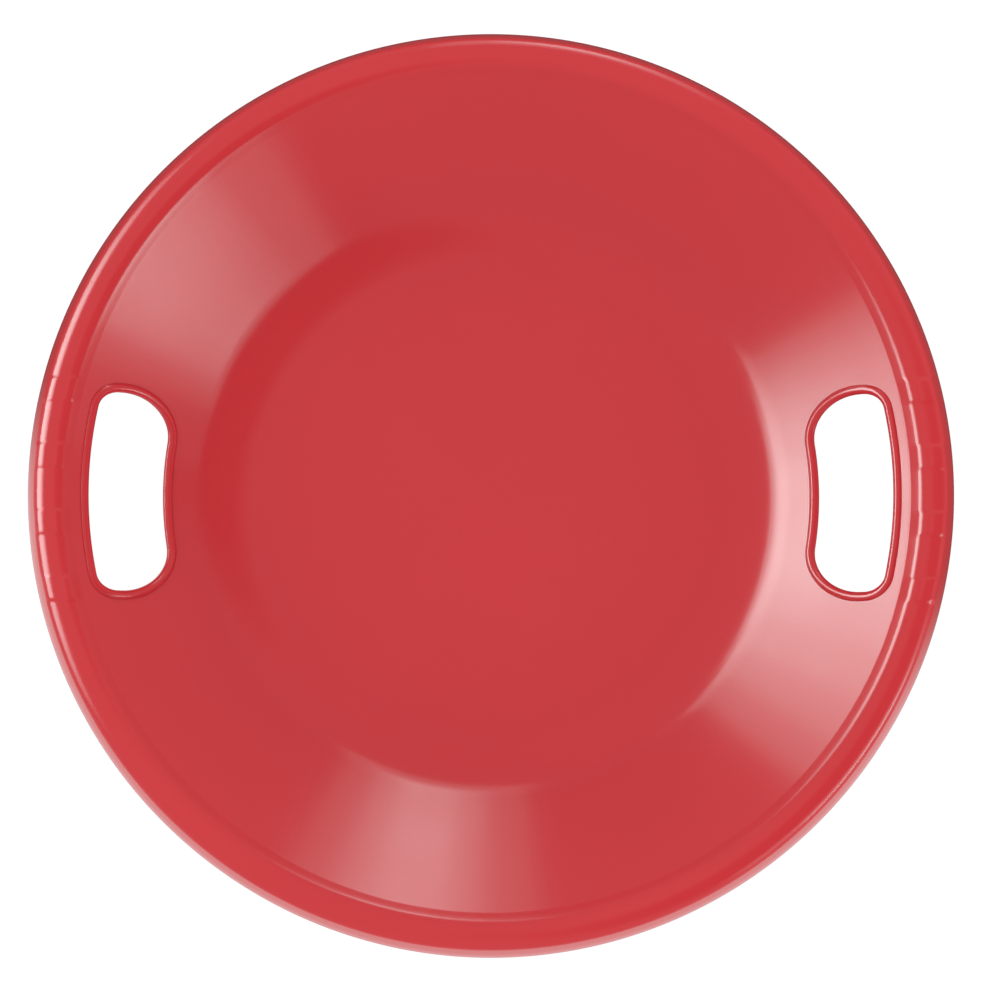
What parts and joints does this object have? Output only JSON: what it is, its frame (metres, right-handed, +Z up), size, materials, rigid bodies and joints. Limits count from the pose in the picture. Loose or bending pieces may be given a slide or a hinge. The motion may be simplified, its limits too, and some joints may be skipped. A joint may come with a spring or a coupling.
{
  "type": "saucer sled",
  "caption": "Round moulded plastic snow saucer with a flat seat floor, sloping wall, stepped rim with finger ridges, and hand openings lined with round beads.",
  "frame": {"origin": "under the middle of the flat floor, on the surface the sled rests on", "axes": "+Z up along the dish's axis; the hand openings lie on the X axis, the right one at +X"},
  "size_m": [0.6594, 0.6594, 0.0993],
  "materials": {
    "shell_plastic": "satin red moulded polyethylene",
    "trim_plastic": "glossy red edge trim"
  },
  "bodies": {
    "root": {"saucer_shell": "shell_plastic", "right_hand_hole_trim": "trim_plastic", "left_hand_hole_trim": "trim_plastic"}
  },
  "joints": []
}
